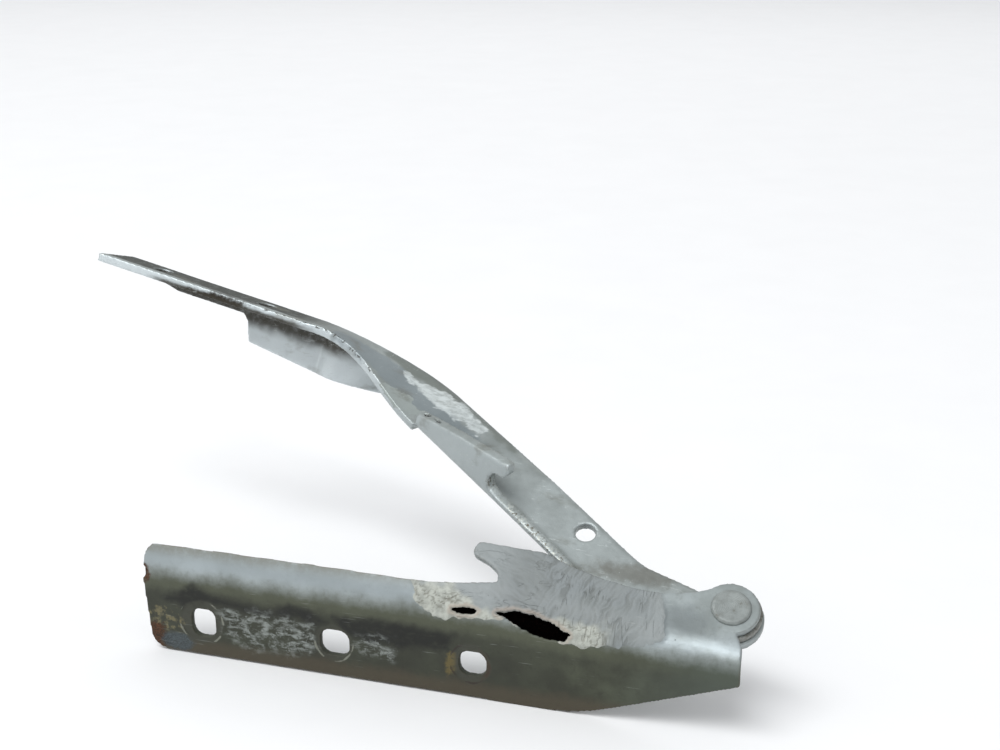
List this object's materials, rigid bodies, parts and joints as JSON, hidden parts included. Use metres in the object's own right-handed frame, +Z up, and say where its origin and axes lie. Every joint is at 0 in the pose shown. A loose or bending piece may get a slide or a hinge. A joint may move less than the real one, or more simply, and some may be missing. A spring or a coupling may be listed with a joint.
{
  "type": "bonnet hinge",
  "caption": "pressed-steel car bonnet hinge: a bolted body bracket with a hooked ear, riveted to a cranked arm that ends in an angled bonnet flange",
  "frame": {"origin": "centre of the middle body bolt hole, on the outer mounting face of the body bracket", "axes": "+X runs along the row of body bolt holes toward the pivot, -Y is the outward normal of the body bracket's mounting face, +Z is up across the flange toward the bend"},
  "size_m": [0.3435, 0.1429, 0.1408],
  "materials": {
    "bracket_paint": "worn silver-grey body paint over dark primer, rusted at the edges",
    "arm_paint": "satin silver-grey body paint, scuffed",
    "rivet_paint": "silver-grey body paint over a flattened rivet head",
    "spacer_steel": "dull steel with paint overspray",
    "bush_bronze": "plain bronze",
    "washer_steel": "dull steel with paint overspray"
  },
  "bodies": {
    "bracket": {"body_bracket": "bracket_paint", "pivot_rivet": "rivet_paint", "pivot_spacer": "spacer_steel", "tail_washer": "washer_steel"},
    "arm": {"bonnet_arm": "arm_paint", "pivot_bush": "bush_bronze"}
  },
  "joints": [
    {"name": "bonnet_pivot", "type": "hinge", "parent": "bracket", "child": "arm", "pos_m": [0.16, 0.0215, 0.0295], "axis": [-0.0872, 0.4981, -0.8627], "range_deg": [-16, 40]}
  ]
}
